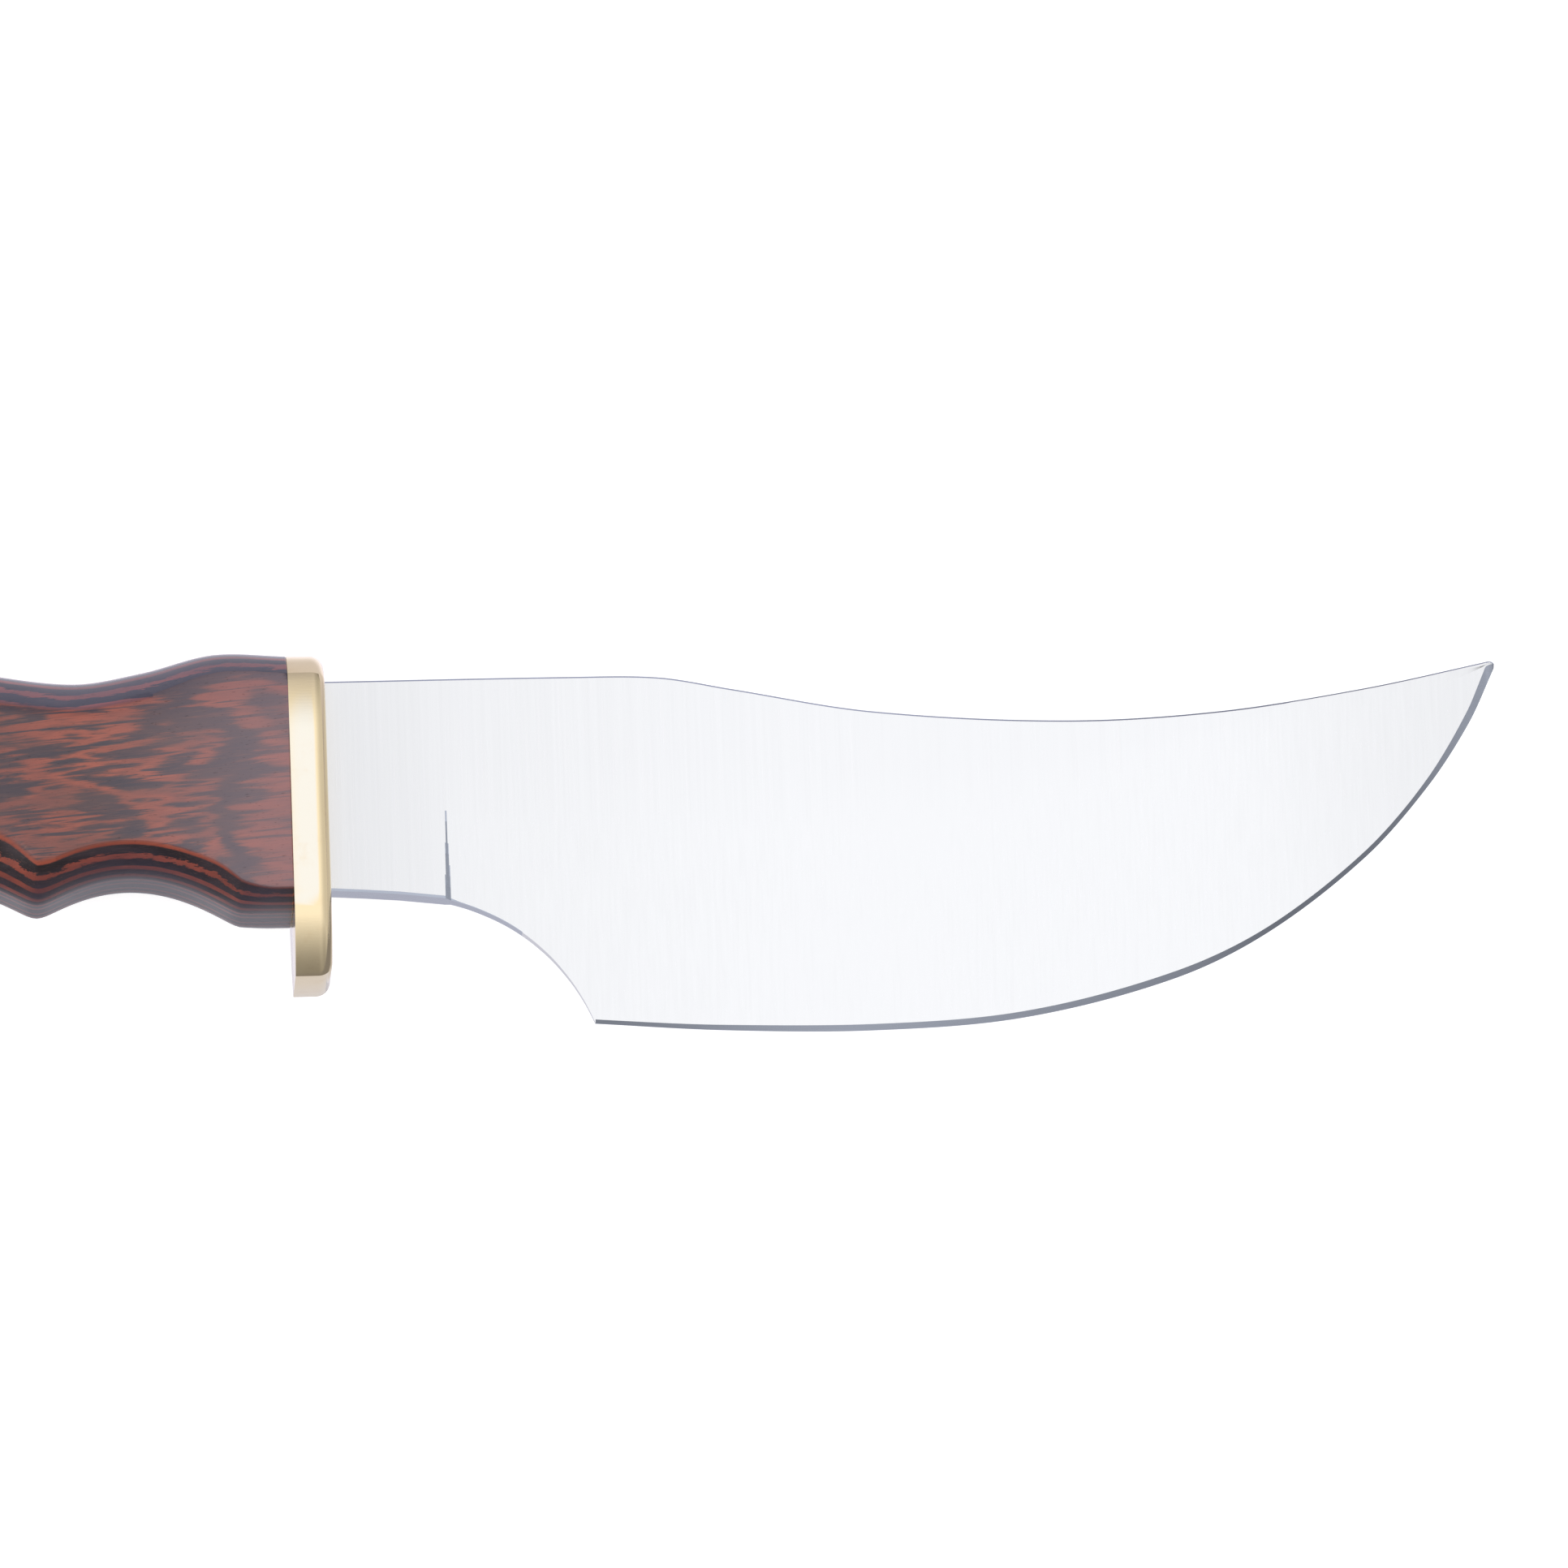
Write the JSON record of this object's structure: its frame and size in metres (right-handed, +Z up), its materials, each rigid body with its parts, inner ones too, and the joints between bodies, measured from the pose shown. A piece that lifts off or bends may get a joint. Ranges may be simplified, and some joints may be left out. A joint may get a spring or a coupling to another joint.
{
  "type": "skinning knife",
  "caption": "Fixed-blade skinning knife with an upswept satin blade, brass guard and finger-grooved handle of red and black laminated wood.",
  "frame": {"origin": "under the middle of the knife's box, on the plane that the knife lies on", "axes": "the knife lies on its side; +X runs to the tip, +Y towards the spine, +Z is up through the handle's width"},
  "size_m": [0.2522, 0.0454, 0.021],
  "materials": {
    "satin_steel": "fine satin brushing across the blade",
    "polished_brass": "polished",
    "epoxy": "hardened clear resin",
    "rust_veneer": "rust-red dyed, resin-filled veneer, buffed to a gloss",
    "black_veneer": "black dyed, resin-filled veneer, buffed to a gloss"
  },
  "bodies": {
    "root": {"blade": "satin_steel", "guard": "polished_brass", "tang_epoxy": "epoxy", "cross_pins": "polished_brass", "lanyard_tube": "polished_brass", "veneer_01": "black_veneer", "veneer_02": "rust_veneer", "veneer_03": "black_veneer", "veneer_04": "rust_veneer", "veneer_05": "black_veneer", "veneer_06": "rust_veneer", "veneer_07": "black_veneer", "veneer_08": "rust_veneer", "veneer_09": "black_veneer", "veneer_10": "rust_veneer", "veneer_11": "black_veneer", "veneer_12": "rust_veneer", "veneer_13": "black_veneer", "veneer_14": "rust_veneer", "veneer_15": "black_veneer", "veneer_16": "rust_veneer", "veneer_17": "black_veneer", "veneer_18": "rust_veneer", "veneer_19": "black_veneer", "veneer_20": "rust_veneer", "veneer_21": "black_veneer", "veneer_22": "rust_veneer", "veneer_23": "black_veneer", "veneer_24": "rust_veneer"}
  },
  "joints": []
}
